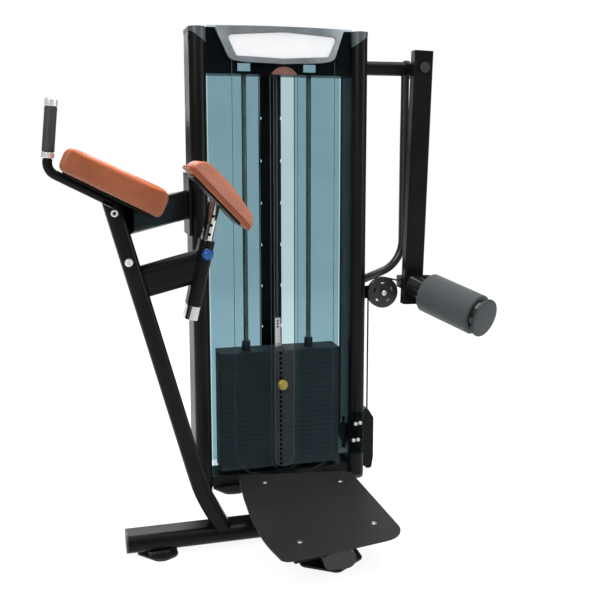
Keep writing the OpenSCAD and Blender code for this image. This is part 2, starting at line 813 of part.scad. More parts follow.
module upper_link() {
  a = [-500, -345];
  b = [-296, 76];
  x = -tower_w / 2 - 8.2;
  color([0.06, 0.06, 0.065]) placed() {
    difference() {
      translate([a.x, a.y, 939]) rotate([90, 0, 90 + atan2(b.y - a.y, b.x - a.x)])
        translate([0, 0, -30]) linear_extrude(620) oval_tube(50, 92, 3);
      leg_side();
      elbow_frame() translate([0, 0, -57.9]) rotate([0, 2.9, 0])
        translate([100, -5, -9]) cube([elbow_l, 194, 200]);
      translate([x, -300, 800]) cube([300, 700, 300]);
    }
    translate([x, 13, 845]) cube([8, 130, 195]);
  }
}

module lower_link() {
  color([0.06, 0.06, 0.065]) placed() difference() {
    translate([-400, -leg_y, 784.5]) rotate([0, -14, 0]) rotate([90, 0, 90])
      linear_extrude(260, center = true) oval_tube(50, 88, 3);
    leg_side();
    sleeve_frame() translate([0, 0, -300]) linear_extrude(600) {
      oval(40 + 2 * gap, 76 + 2 * gap);
      translate([0, -60]) square([200, 120]);
    }
  }
}

// plane of the forearm pad's underside, in the leg's plane
module rest_frame() {
  translate([elbow_o.x, -leg_y, elbow_o.z]) rotate([0, elbow_tilt, 0])
    translate([0, 0, -57.9]) rotate([0, 2.9, 0]) children();
}

module grip_frame() {
  a = 90 - grip_lean;
  rest_frame() translate([bar_x - grip_bend * sin(a), 0, bar_z + grip_bend * (1 - cos(a))])
    rotate([0, -grip_lean, 0]) children();
}

module pad_support() {
  a = 90 - grip_lean;
  color([0.06, 0.06, 0.065]) placed() {
    rest_frame() {
      translate([8, -125, -6.4]) cube([elbow_l - 30, 145, 6.1]);
      translate([bar_x, 0, bar_z]) {
        rotate([0, 90, 0]) translate([0, 0, -1]) cylinder(h = bar_end - bar_x + 1, r = bar_r);
        translate([0, 0, grip_bend]) rotate([90, 0, 0]) rotate([0, 0, 270 - a])
          rotate_extrude(angle = a) translate([grip_bend, 0]) circle(r = bar_r - 0.1);
      }
    }
    grip_frame() translate([0, 0, -1]) cylinder(h = 8, r = bar_r);
    grip_frame() translate([0, 0, 3]) cylinder(h = 138.5, r = 10);
  }
}

module handle_grip() {
  color([0.05, 0.05, 0.05]) placed() grip_frame() translate([0, 0, 24]) difference() {
    cylinder(h = 115.4, r = 15.8);
    translate([0, 0, -1]) cylinder(h = 118, r = 10.05);
  }
}

module grip_collars() {
  color([0.85, 0.85, 0.86]) placed() grip_frame() {
    translate([0, 0, 9.3]) difference() {
      cylinder(h = 14.5, r = 16);
      translate([0, 0, -1]) cylinder(h = 17, r = 10.05);
    }
    translate([0, 0, 139.6]) difference() {
      cylinder(h = 20, r = 16);
      translate([0, 0, -1]) cylinder(h = 3, r = 10.05);
    }
  }
}

module elbow_pad() {
  p = [[-8, -57.5], [-8, 7.5], [elbow_l - 6, 3.5], [elbow_l - 6, -71.5]];
  color([0.66, 0.36, 0.24]) placed() elbow_frame()
    xz(0, elbow_w) polygon(rounded(p, [9, 16, 26, 13]));
}

module chest_pad() {
  top = [[1, -2], [3, 16], [16, 37], [60, 39], [105, 38.5], [150, 34], [206, 26], [226, 4],
         [226, -2]];
  base = [[2, -13], [-2, -2.5], [chest_l - 1, -2.5], [chest_l - 1, -13]];
  color([0.72, 0.47, 0.4]) placed() chest_frame() {
    xz(0, chest_w) polygon(rounded(top, [1, 14, 20, 90, 120, 120, 14, 4, 1]));
    xz(2, chest_w - 2) polygon(rounded(base, [3, 2, 2, 3]));
    xz(5, chest_w - 5) translate([6, -4]) square([chest_l - 10, 4]);
  }
}

module chest_board() {
  color([0.06, 0.06, 0.065]) placed() chest_frame()
    translate([25, 25, -19]) cube([175, 100, 5.7]);
}

module chest_tube() {
  color([0.85, 0.85, 0.86]) placed() difference() {
    sleeve_frame() translate([0, 0, -110]) linear_extrude(420) oval_tube(28, 56, 2);
    chest_frame() translate([-200, -200, -19 - gap]) cube([700, 600, 400]);
    sleeve_frame() for (z = [-18 : 25 : 160])
      translate([0, 0, z]) rotate([90, 0, 0]) cylinder(h = 40, r = 4.2);
  }
}

module chest_sleeve() {
  color([0.06, 0.06, 0.065]) placed() sleeve_frame() difference() {
    union() {
      translate([0, 0, -90]) linear_extrude(180) oval(40, 76);
      translate([0, -34, 57]) rotate([90, 0, 0]) cylinder(h = 14, r = 10);
    }
    translate([0, 0, -91]) linear_extrude(182) oval(28.2, 56.2);
    translate([0, 0, 57]) rotate([90, 0, 0]) cylinder(h = 60, r = 4.2);
  }
}

module sleeve_ferrule() {
  color([0.85, 0.85, 0.86]) placed() sleeve_frame() translate([0, 0, -128])
    linear_extrude(37.8) difference() {
      oval(37, 72);
      oval(28.2, 56.2);
    }
}

module lock_knob() {
  color([0.08, 0.3, 0.7]) placed() sleeve_frame() translate([0, 0, 57]) {
    translate([0, -64, 0]) sphere(r = 15);
    rotate([90, 0, 0]) translate([0, 0, 48.3]) cylinder(h = 8, r = 6);
    rotate([90, 0, 0]) translate([0, 0, 28.5]) cylinder(h = 25, r = 4.1);
  }
}

spine_beam();
front_beam();
beam_caps();
rubber_feet();
foot_plate();
plate_risers();
left_post();
right_post();
post_caps();
base_beam();
top_beam();
pulley_hanger();
top_pulley_left();
top_pulley_right();
front_cover();
rear_covers();
rear_upright();
shroud();
shroud_panel();
slot_cap();
guide_rods();
stack_bumpers();
resting_plates();
lifted_plates();
top_plate();
plate_bushings();
selector_stem();
selector_pin();
pin_knob();
lanyard();
main_cable();
stack_cable();
arm_cable();
side_pulley();
side_bracket();
lower_pulley();
lower_guard();
guard_window();
frame_bolts();
pivot_bracket();
brace();
pivot_shaft();
swing_arm();
arm_bracket();
roller_axle();
roller_foam();
roller_caps();
leg();
upper_link();
lower_link();
pad_support();
handle_grip();
grip_collars();
elbow_pad();
chest_pad();
chest_board();
chest_tube();
chest_sleeve();
sleeve_ferrule();
lock_knob();
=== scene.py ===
"""Looks for the standing glute machine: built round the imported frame, in metres, +Z up."""
import math

import bmesh
import bpy
from mathutils import Matrix, Vector


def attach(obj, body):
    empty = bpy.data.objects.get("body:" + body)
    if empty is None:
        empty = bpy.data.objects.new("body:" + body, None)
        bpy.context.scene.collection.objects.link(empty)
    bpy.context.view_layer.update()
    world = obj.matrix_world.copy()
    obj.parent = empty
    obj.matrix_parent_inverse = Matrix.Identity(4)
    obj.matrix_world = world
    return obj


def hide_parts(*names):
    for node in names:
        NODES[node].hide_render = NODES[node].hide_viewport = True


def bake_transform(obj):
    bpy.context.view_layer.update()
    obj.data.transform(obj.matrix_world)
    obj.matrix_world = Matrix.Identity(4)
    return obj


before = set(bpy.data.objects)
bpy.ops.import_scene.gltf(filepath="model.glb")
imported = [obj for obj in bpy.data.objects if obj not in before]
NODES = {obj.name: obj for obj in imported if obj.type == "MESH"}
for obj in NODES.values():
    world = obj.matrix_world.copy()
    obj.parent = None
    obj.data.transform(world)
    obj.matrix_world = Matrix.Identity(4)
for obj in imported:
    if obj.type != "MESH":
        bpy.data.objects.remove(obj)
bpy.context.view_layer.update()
ORIGIN = Vector((39.93, 262.17, 0.0))  # the tower's own origin in the row frame, mm


def W(x, y, z):
    """A point given in tower millimetres, as metres in the row frame."""
    return (Vector((x, y, z)) + ORIGIN) / 1000.0


def T(x, y, z):
    return Matrix.Translation((x, y, z))


def R(axis, degrees):
    return Matrix.Rotation(math.radians(degrees), 4, axis)


# local frames of the leaning parts, in tower millimetres
PLAIN = Matrix.Identity(4)
ROLLER = T(475, -75, 646) @ R("Z", -60) @ R("Y", 104.3)
SLEEVE = T(-320, -358, 786) @ R("Y", 12.7)
ELBOW = T(-649, -513, 1118) @ R("Y", 24.66)
CHEST = T(-348.8, -463, 1075.9) @ R("Y", 46.6)
BEND = 34.0  # the grip bar's bend: radius in mm, and the angle it turns through
TURN = math.radians(68.4)
GRIP = (T(-649, -358, 1118) @ R("Y", 24.66) @ T(0, 0, -57.9) @ R("Y", 2.9)
        @ T(-4.5 - BEND * math.sin(TURN), 0, -18.4 + BEND * (1 - math.cos(TURN))) @ R("Y", -21.6))
FRONT = R("X", 90)  # local +Z comes out towards the user, local +Y is up
CABLE_Y = 78.0  # the cables' plane
CABLE_R = 3.0
COVER_R = 943.0  # the front cover's bow: its radius and the y of its centre
COVER_MID_Y = 925

# ---------------------------------------------------------------- camera
cam_data = bpy.data.cameras.new("camera")
cam = bpy.data.objects.new("camera", cam_data)
bpy.context.scene.collection.objects.link(cam)
look = Vector((0.2607, 0.9549, -0.1424)).normalized()
right = Vector((0.9647, -0.2634, 0.0)).normalized()
up = right.cross(look)
turn = Matrix((right, up, -look)).transposed()
EYE = W(-651.5, -2632.0, 1128.3)
cam.matrix_world = Matrix.Translation(EYE) @ turn.to_4x4()
cam_data.sensor_width = 36.0  # mm, as is the lens
cam_data.lens = 51.14
cam_data.shift_x = -0.005
cam_data.shift_y = -0.055
cam_data.clip_start = 0.05
cam_data.clip_end = 100
bpy.context.scene.camera = cam


# ---------------------------------------------------------------- materials
def shader(name):
    """A new material with one Principled shader: the material, its tree and the shader."""
    m = bpy.data.materials.new(name)
    m.use_nodes = True
    t = m.node_tree
    t.nodes.clear()
    out = t.nodes.new("ShaderNodeOutputMaterial")
    b = t.nodes.new("ShaderNodeBsdfPrincipled")
    t.links.new(b.outputs["BSDF"], out.inputs["Surface"])
    return m, t, b


def coords(t, scale=(1, 1, 1)):
    """Object coordinates, stretched by scale."""
    c = t.nodes.new("ShaderNodeTexCoord")
    m = t.nodes.new("ShaderNodeMapping")
    m.inputs["Scale"].default_value = scale
    t.links.new(c.outputs["Object"], m.inputs["Vector"])
    return m.outputs["Vector"]


def noise(t, vec, scale, detail):
    n = t.nodes.new("ShaderNodeTexNoise")
    n.inputs["Scale"].default_value = scale
    n.inputs["Detail"].default_value = detail
    n.inputs["Roughness"].default_value = 0.5
    t.links.new(vec, n.inputs["Vector"])
    return n.outputs["Fac"]


def cells(t, vec, scale):
    n = t.nodes.new("ShaderNodeTexVoronoi")
    n.inputs["Scale"].default_value = scale
    t.links.new(vec, n.inputs["Vector"])
    return n.outputs["Distance"]


def span(t, fac, low, high, lo_in=0.3, hi_in=0.7):
    """Maps lo_in..hi_in to low..high, clamped."""
    n = t.nodes.new("ShaderNodeMapRange")
    n.inputs["From Min"].default_value = lo_in
    n.inputs["From Max"].default_value = hi_in
    n.inputs["To Min"].default_value = low
    n.inputs["To Max"].default_value = high
    t.links.new(fac, n.inputs["Value"])
    return n.outputs["Result"]


def mix(t, fac, a, b):
    """Colour a where fac is 0 and b where it is 1; each is a socket or an RGB triple."""
    n = t.nodes.new("ShaderNodeMix")
    n.data_type = "RGBA"
    t.links.new(fac, n.inputs["Factor"])
    for key, v in (("A", a), ("B", b)):
        sock = [s for s in n.inputs if s.name == key and s.type == "RGBA"][0]
        if isinstance(v, bpy.types.NodeSocket):
            t.links.new(v, sock)
        else:
            sock.default_value = (*v, 1.0)
    return [s for s in n.outputs if s.type == "RGBA"][0]


def math_node(t, op, a, b=None):
    """A Math node's output; a and b are sockets or numbers."""
    n = t.nodes.new("ShaderNodeMath")
    n.operation = op
    for i, v in enumerate((a, b)):
        if isinstance(v, bpy.types.NodeSocket):
            t.links.new(v, n.inputs[i])
        elif v is not None:
            n.inputs[i].default_value = v
    return n.outputs[0]


def bump(t, b, height, strength, distance):
    n = t.nodes.new("ShaderNodeBump")
    n.inputs["Strength"].default_value = strength
    n.inputs["Distance"].default_value = distance
    t.links.new(height, n.inputs["Height"])
    t.links.new(n.outputs["Normal"], b.inputs["Normal"])


def edge_mask(t, radius):
    """1 near an edge, 0 on the flats; the radius is in metres."""
    bev = t.nodes.new("ShaderNodeBevel")
    bev.samples = 4
    bev.inputs["Radius"].default_value = radius
    geo = t.nodes.new("ShaderNodeNewGeometry")
    dot = t.nodes.new("ShaderNodeVectorMath")
    dot.operation = "DOT_PRODUCT"
    t.links.new(bev.outputs["Normal"], dot.inputs[0])
    t.links.new(geo.outputs["Normal"], dot.inputs[1])
    return span(t, dot.outputs["Value"], 1.0, 0.0, 0.8, 0.995)


EDGE_R = 0.0015  # metres
EDGE_WEIGHT = 0.6


def surface(name, low, high, rough, metal=0.0, patch=8.0, grain=900.0, depth=0.00005, strength=0.3,
            coat=0.0, coat_rough=0.1, stretch=(1, 1, 1), edge=None, spec=0.5, sheen=0.0):
    """Paint, metal or plastic: patchy colour between low and high, patchy gloss, fine grain in the bump."""
    m, t, b = shader(name)
    v = coords(t, stretch)
    soft = noise(t, v, patch, 4)
    fine = noise(t, v, patch * 9, 3)
    both = math_node(t, "MULTIPLY_ADD", soft, 0.7)  # 0.7 soft + 0.3 fine
    t.links.new(math_node(t, "MULTIPLY", fine, 0.3), both.node.inputs[2])
    colour = mix(t, span(t, both, 0, 1), low, high)
    if edge:
        colour = mix(t, math_node(t, "MULTIPLY", edge_mask(t, EDGE_R), EDGE_WEIGHT), colour, edge)
    t.links.new(colour, b.inputs["Base Color"])
    t.links.new(span(t, both, rough[0], rough[1], 0.25, 0.75), b.inputs["Roughness"])
    b.inputs["Metallic"].default_value = metal
    b.inputs["Specular IOR Level"].default_value = spec
    b.inputs["Coat Weight"].default_value = coat
    b.inputs["Coat Roughness"].default_value = coat_rough
    if sheen:
        b.inputs["Sheen Weight"].default_value = sheen
        b.inputs["Sheen Roughness"].default_value = 0.4
    bump(t, b, noise(t, v, grain, 2), strength, depth)
    return m


def leather(name, low, high, pit, rim):
    """Grained upholstery: patchy colour, darker pits, and a painted highlight: the rim colour on the faces
    that look up.
    """
    m, t, b = shader(name)
    v = coords(t)
    soft = noise(t, v, 14, 4)
    cell = cells(t, v, 620)
    pore = noise(t, v, 1500, 2)
    base = mix(t, span(t, soft, 0, 1), low, high)
    dark = mix(t, span(t, cell, 0.0, 0.35, 0.55, 0.9), base, pit)
    geo = t.nodes.new("ShaderNodeNewGeometry")
    part = t.nodes.new("ShaderNodeSeparateXYZ")
    t.links.new(geo.outputs["Normal"], part.inputs[0])
    # painted highlight: faces that look up take the rim colour, a lighter, more saturated orange standing in
    # for the light on the tops
    edge = mix(t, span(t, part.outputs["Z"], 0.0, 1.0, 0.25, 0.7), dark, rim)
    t.links.new(edge, b.inputs["Base Color"])
    t.links.new(span(t, soft, 0.36, 0.5), b.inputs["Roughness"])
    b.inputs["Specular IOR Level"].default_value = 0.4
    b.inputs["Sheen Weight"].default_value = 0.02
    b.inputs["Sheen Roughness"].default_value = 0.35
    grain = math_node(t, "ADD", math_node(t, "MULTIPLY", cell, 0.8), math_node(t, "MULTIPLY", pore, 0.4))
    wide = math_node(t, "ADD", grain, math_node(t, "MULTIPLY", noise(t, v, 55, 3), 1.2))
    bump(t, b, wide, 0.35, 0.00035)
    return m


def foam():
    """Dull closed-cell foam with fine pores."""
    m, t, b = shader("roller_foam_grey")
    v = coords(t)
    soft = noise(t, v, 22, 4)
    pore = cells(t, v, 1300)
    base = mix(t, span(t, soft, 0, 1), (0.038, 0.045, 0.048), (0.052, 0.06, 0.063))
    pits = mix(t, span(t, pore, 0.5, 0.0, 0.0, 0.35), base, (0.03, 0.035, 0.038))
    t.links.new(pits, b.inputs["Base Color"])
    t.links.new(span(t, soft, 0.62, 0.8), b.inputs["Roughness"])
    b.inputs["Specular IOR Level"].default_value = 0.4
    b.inputs["Sheen Weight"].default_value = 0.25
    b.inputs["Sheen Roughness"].default_value = 0.5
    height = math_node(t, "ADD", pore, math_node(t, "MULTIPLY", noise(t, v, 90, 3), 1.5))
    bump(t, b, height, 0.3, 0.0004)
    return m


def tinted():
    """Clear tinted sheet, without reflection: the photo shows almost none."""
    m, t, b = shader("tinted_plastic")
    v = coords(t)
    soft = noise(t, v, 5, 3)
    colour = mix(t, span(t, soft, 0, 1), (0.415, 0.55, 0.595), (0.45, 0.585, 0.63))
    t.links.new(colour, b.inputs["Base Color"])
    t.links.new(span(t, noise(t, v, 30, 4), 0.0, 0.012), b.inputs["Roughness"])
    b.inputs["Transmission Weight"].default_value = 1.0
    b.inputs["IOR"].default_value = 1.0
    b.inputs["Specular IOR Level"].default_value = 0.0
    bump(t, b, noise(t, v, 12, 2), 0.02, 0.0006)
    return m


def dotted():
    """Terracotta plastic with a regular grid of darker dots."""
    m, t, b = shader("dotted_terracotta")
    v = coords(t, (1, 0.0, 1))
    grid = t.nodes.new("ShaderNodeTexVoronoi")
    grid.inputs["Scale"].default_value = 330
    grid.inputs["Randomness"].default_value = 0.0
    t.links.new(v, grid.inputs["Vector"])
    spot = span(t, grid.outputs["Distance"], 1.0, 0.0, 0.25, 0.4)
    soft = noise(t, coords(t), 60, 3)
    base = mix(t, span(t, soft, 0, 1), (0.16, 0.065, 0.05), (0.24, 0.1, 0.08))
    t.links.new(mix(t, spot, base, (0.07, 0.03, 0.025)), b.inputs["Base Color"])
    t.links.new(span(t, soft, 0.45, 0.6), b.inputs["Roughness"])
    bump(t, b, grid.outputs["Distance"], 0.5, 0.0006)
    return m


MAT = {
    "black": surface("powder_black", (0.003, 0.003, 0.0034), (0.006, 0.0059, 0.0059), (0.26, 0.38),
                     patch=6, grain=700, depth=0.00006, strength=0.15, edge=(0.012, 0.012, 0.012), spec=0.12),
    "brace": surface("gloss_brown_black", (0.02, 0.018, 0.014), (0.036, 0.032, 0.026), (0.2, 0.3),
                     patch=8, grain=700, depth=0.00006, strength=0.15, coat=0.15, coat_rough=0.08,
                     edge=(0.07, 0.062, 0.052), spec=0.35),
    "step": surface("step_dark_grey", (0.012, 0.012, 0.0135), (0.019, 0.019, 0.0205), (0.45, 0.6), patch=5,
                    grain=1100, depth=0.0003, strength=0.45, edge=(0.008, 0.008, 0.008), spec=0.25),
    "iron": surface("plate_black", (0.026, 0.027, 0.028), (0.038, 0.039, 0.04), (0.5, 0.65), patch=10,
                    grain=400, depth=0.00006, strength=0.1, edge=(0.02, 0.02, 0.02), spec=0.2),
    "gloss": surface("gloss_black_plastic", (0.006, 0.006, 0.0065), (0.012, 0.012, 0.012), (0.1, 0.18),
                     patch=30, grain=900, depth=0.00004, strength=0.15, edge=(0.05, 0.05, 0.05), spec=0.5),
    "foot": surface("foot_rubber", (0.012, 0.012, 0.012), (0.024, 0.024, 0.024), (0.4, 0.55), patch=25,
                    grain=1300, depth=0.0001, strength=0.3, edge=(0.3, 0.3, 0.3), spec=0.35),
    "rod": surface("oiled_rod", (0.12, 0.12, 0.105), (0.2, 0.2, 0.18), (0.2, 0.32), metal=0.8, patch=20,
                   grain=350, depth=0.00005, strength=0.2, stretch=(6, 6, 0.4)),
    "steel": surface("satin_steel", (0.46, 0.45, 0.43), (0.6, 0.59, 0.57), (0.24, 0.38), metal=1.0,
                     patch=20, grain=350, depth=0.0001, strength=0.3, stretch=(6, 6, 0.4)),
    "chrome": surface("chrome", (0.46, 0.44, 0.42), (0.66, 0.65, 0.64), (0.04, 0.1), metal=1.0, patch=30,
                      grain=250, depth=0.00005, strength=0.15, stretch=(3, 3, 0.6)),
    # painted shade: opaque dark teal for the beads along the cover's embossed contours and slot lip, standing
    # in for the shade on those ridges
    "line": surface("cover_ridge_painted_shade", (0.012, 0.03, 0.035), (0.03, 0.06, 0.07), (0.12, 0.25), patch=20, spec=0.4),
    "bright": surface("bright_steel", (0.66, 0.65, 0.63), (0.8, 0.79, 0.77), (0.14, 0.24), metal=0.45,
                      patch=30, grain=250, depth=0.00004, strength=0.15, stretch=(3, 3, 0.6)),
    "silver": surface("silver_paint", (0.24, 0.275, 0.3), (0.36, 0.4, 0.425), (0.25, 0.36), metal=0.75,
                      patch=12, grain=1600, depth=0.00006, strength=0.3, coat=0.4, edge=(0.55, 0.58, 0.6)),
    "white": surface("panel_white", (0.72, 0.74, 0.76), (0.8, 0.81, 0.82), (0.2, 0.3), patch=9, coat=0.3),
    "cap": surface("cap_grey_blue", (0.046, 0.056, 0.06), (0.066, 0.078, 0.083), (0.34, 0.46), patch=15,
                   grain=1300, depth=0.0001, strength=0.3, edge=(0.2, 0.22, 0.23)),
    "rcap": surface("roller_cap_grey", (0.02, 0.026, 0.029), (0.032, 0.04, 0.044), (0.42, 0.55), patch=15,
                    grain=1300, depth=0.0001, strength=0.3, edge=(0.09, 0.1, 0.105), spec=0.3),
    "plastic": surface("black_plastic", (0.01, 0.01, 0.0105), (0.02, 0.02, 0.021), (0.32, 0.45), patch=18,
                       grain=1200, depth=0.00015, strength=0.35, edge=(0.05, 0.05, 0.052)),
    "rubber": surface("black_rubber", (0.013, 0.013, 0.013), (0.026, 0.025, 0.025), (0.5, 0.68), patch=25,
                      grain=1500, depth=0.0002, strength=0.5, sheen=0.15),
    "yellow": surface("yellow_plastic", (0.27, 0.2, 0.008), (0.36, 0.28, 0.012), (0.16, 0.26), patch=40,
                      grain=900, coat=0.6, coat_rough=0.05),
    "blue": surface("blue_plastic", (0.001, 0.048, 0.2), (0.003, 0.078, 0.3), (0.14, 0.24), patch=40,
                    grain=900, coat=0.2, coat_rough=0.04, spec=0.35),
    "cable": surface("coated_cable", (0.012, 0.012, 0.013), (0.03, 0.03, 0.032), (0.28, 0.4), patch=60,
                     grain=1500, depth=0.0001),
    # the last colour of each leather is its rim: a painted highlight on the faces that look up
    "leather": leather("leather_orange", (0.22, 0.058, 0.021), (0.285, 0.08, 0.031), (0.13, 0.03, 0.012),
                       (0.52, 0.11, 0.02)),
    # the chest cushion's leather: the same orange upholstery painted lighter and pinker, a painted sheen from
    # the lights
    "leather_painted_sheen": leather("leather_orange_painted_sheen", (0.33, 0.125, 0.08), (0.41, 0.16, 0.108), (0.17, 0.06, 0.04),
                           (0.52, 0.11, 0.02)),
    "foam": foam(), "tint": tinted(), "dots": dotted(),
}


# ---------------------------------------------------------------- mesh helpers
SAME_POINT = 1e-6  # metres
SHARP = math.radians(40)
WELD = 0.00001  # metres


def add(name, verts, faces, mat, body, M=PLAIN, replaces=()):
    """A piece from vertices in a local frame (mm), smooth-shaded, riding on a CAD body."""
    me = bpy.data.meshes.new(name)
    me.from_pydata([W(*(M @ Vector(v))) for v in verts], [], faces)
    me.validate()
    o = bpy.data.objects.new(name, me)
    bpy.context.scene.collection.objects.link(o)
    bm = bmesh.new()
    bm.from_mesh(me)
    bmesh.ops.remove_doubles(bm, verts=bm.verts, dist=SAME_POINT)
    bmesh.ops.recalc_face_normals(bm, faces=bm.faces)
    bm.to_mesh(me)
    bm.free()
    me.materials.append(MAT[mat])
    me.shade_smooth()
    me.set_sharp_from_angle(angle=SHARP)
    if body:
        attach(o, body)
    if replaces:
        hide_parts(*replaces)
    return o


def turned(profile, seg=64):
    """Vertices and faces of a closed shape turned about local Z from (radius, z) pairs."""
    verts, faces, rings = [], [], []
    for r, z in profile:
        if r < 1e-6:
            rings.append([len(verts)])
            verts.append((0, 0, z))
        else:
            rings.append(list(range(len(verts), len(verts) + seg)))
            verts += [(r * math.cos(2 * math.pi * i / seg), r * math.sin(2 * math.pi * i / seg), z)
                      for i in range(seg)]
    for a, b in zip(rings, rings[1:]):
        for i in range(seg):
            j = (i + 1) % seg
            if len(a) == 1 and len(b) == 1:
                continue
            if len(a) == 1:
                faces.append((a[0], b[j], b[i]))
            elif len(b) == 1:
                faces.append((a[i], a[j], b[0]))
            else:
                faces.append((a[i], a[j], b[j], b[i]))
    return verts, faces


def fillet(points, radii, steps=5):
    """An open polyline of pairs with its inner corners rounded, each by its own radius."""
    out = [points[0]]
    for i in range(1, len(points) - 1):
        a, p, c = (Vector(points[k]) for k in (i - 1, i, i + 1))
        u, w = (a - p), (c - p)
        rad = radii[i]
        if rad <= 0 or u.length < 1e-6 or w.length < 1e-6:
            out.append(tuple(p))
            continue
        half = u.angle(w) / 2
        d = min(rad / max(math.tan(half), 1e-6), u.length * 0.49, w.length * 0.49)
        rad = d * math.tan(half)
        p0, p1 = p + u.normalized() * d, p + w.normalized() * d
        mid = p + (u.normalized() + w.normalized()).normalized() * (rad / math.sin(half))
        for k in range(steps + 1):
            q = p0.lerp(p1, k / steps) - mid
            out.append(tuple(mid + q.normalized() * rad))
    out.append(points[-1])
    return out


def lathe(name, points, radii, mat, body, M, seg=64, replaces=()):
    """A piece turned about local Z from (radius, z) pairs, each corner rounded by its own radius."""
    v, f = turned(fillet(points, radii), seg)
    return add(name, v, f, mat, body, M, replaces=replaces)


def tube(name, pts, radius, mat, body, seg=10, replaces=()):
    """A round bar swept along points in tower millimetres."""
    P = [Vector(p) for p in pts]
    n = len(P)
    verts, faces, side = [], [], None
    for i, p in enumerate(P):
        d = (P[min(i + 1, n - 1)] - P[max(i - 1, 0)]).normalized()
        if side is None:
            side = d.orthogonal().normalized()
        side = (side - d * side.dot(d)).normalized()
        top = d.cross(side)
        for k in range(seg):
            w = 2 * math.pi * k / seg
            verts.append(tuple(p + radius * (math.cos(w) * side + math.sin(w) * top)))
    for i in range(n - 1):
        for k in range(seg):
            j = i + 1
            faces.append((i * seg + k, i * seg + (k + 1) % seg, j * seg + (k + 1) % seg, j * seg + k))
    faces.append(tuple(range(seg - 1, -1, -1)))
    faces.append(tuple((n - 1) * seg + k for k in range(seg)))
    return add(name, verts, faces, mat, body, replaces=replaces)


def prism(outline, low, high, along="z"):
    """Vertices and faces of an outline run from low to high along local Y or Z."""
    n = len(outline)
    verts = [(a, k, b) if along == "y" else (a, b, k) for k in (low, high) for a, b in outline]
    faces = [tuple(range(n - 1, -1, -1)), tuple(range(n, 2 * n))]
    return verts, faces + [(i, (i + 1) % n, n + (i + 1) % n, n + i) for i in range(n)]


def rim_bevel(o, width, segments, degrees):
    """Rounds a piece's sharp edges; the width is in mm."""
    b = o.modifiers.new("rim", "BEVEL")
    b.width, b.segments = width / 1000, segments
    b.limit_method, b.angle_limit = "ANGLE", math.radians(degrees)
    return b


def arc(cx, cz, r, a0, a1, n=12):
    """Points of an arc about (cx, cz) from angle a0 to a1, in degrees."""
    return [(cx + r * math.cos(math.radians(a0 + (a1 - a0) * i / n)),
             cz + r * math.sin(math.radians(a0 + (a1 - a0) * i / n))) for i in range(n + 1)]


def cover_y(x):
    """Where the bowed front cover's outer face stands at x."""
    return COVER_MID_Y - math.sqrt(COVER_R ** 2 - x * x)


def dress(name, mat, bevel=1.0, angle=35):
    """A CAD node that keeps its shape: a finish, welded seams and small rounded edges."""
    o = NODES[name]
    o.data.materials.clear()
    o.data.materials.append(MAT[mat])
    kept = o.data.attributes.get("custom_normal")
    if kept:
        o.data.attributes.remove(kept)
    o.data.shade_smooth()
    weld = o.modifiers.new("weld", "WELD")
    weld.merge_threshold = WELD
    if bevel:
        b = o.modifiers.new("bevel", "BEVEL")
        b.width = bevel / 1000
        b.segments = 2
        b.limit_method = "ANGLE"
        b.angle_limit = math.radians(angle)
        b.use_clamp_overlap = True
    even = o.modifiers.new("even", "WEIGHTED_NORMAL")
    even.weight = 90
    even.keep_sharp = False


def smooth_path(pts, per=6):
    """Points of a Catmull-Rom curve through pts."""
    P = [Vector(p) for p in pts]
    P = [P[0] * 2 - P[1]] + P + [P[-1] * 2 - P[-2]]
    out = []
    for a, b, c, d in zip(P, P[1:], P[2:], P[3:]):
        for k in range(per):
            s = k / per
            out.append(0.5 * ((2 * b) + (c - a) * s + (2 * a - 5 * b + 4 * c - d) * s * s
                              + (3 * b - a - 3 * c + d) * s ** 3))
    return out + [P[-2]]


# ---------------------------------------------------------------- cords and cables
keeper = smooth_path([(3, 65.5, 463), (8.5, 50, 461.5), (13, 34, 459.5), (15.5, 24, 453), (16, 19, 440),
                      (16, 16, 420), (16, 13, 400), (15.5, 11, 385), (13, 9, 373), (8.5, 8, 365.6)])
LANYARD_R = 1.6
lanyard = tube("lanyard_wire", keeper, LANYARD_R, "cable", None, seg=10, replaces=("lanyard",))
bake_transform(lanyard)


def straight(a, b, n):
    """The points of a straight run from a to b, (x, z) pairs in the cables' plane."""
    return [(a[0] + (b[0] - a[0]) * i / n, CABLE_Y, a[1] + (b[1] - a[1]) * i / n) for i in range(n + 1)]


SIDE_WHEEL = (370, 626.5)  # the side pulley's centre, x and z
RUN_R = 51  # the cable's centre line on that pulley
RUN_ANGLE = math.radians(76)
BRACKET_X = 427  # where the run meets the arm's bracket
SIDE = (SIDE_WHEEL[0] + RUN_R * math.cos(RUN_ANGLE), SIDE_WHEEL[1] + RUN_R * math.sin(RUN_ANGLE))
END = (BRACKET_X, SIDE[1] - (BRACKET_X - SIDE[0]) / math.tan(RUN_ANGLE))
pull = tube("arm_cable_run", straight(SIDE, END, 24), CABLE_R, "cable", None, seg=12, replaces=("arm_cable",))
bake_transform(pull)
STEM_TOP, WHEEL_TOP = 557.4, 1421.7  # the stack cable's two ends
drop = straight((0, STEM_TOP), (0, WHEEL_TOP), 30)
hang = tube("stack_cable_run", drop, CABLE_R, "cable", None, seg=12, replaces=("stack_cable",))
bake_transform(hang)

# ---------------------------------------------------------------- pads
VOXEL = 0.005
CLOTH_FRAMES = 20


def bake(o):
    """Applies a piece's modifiers."""
    dg = bpy.context.evaluated_depsgraph_get()
    me = bpy.data.meshes.new_from_object(o.evaluated_get(dg))
    o.modifiers.clear()
    o.data = me


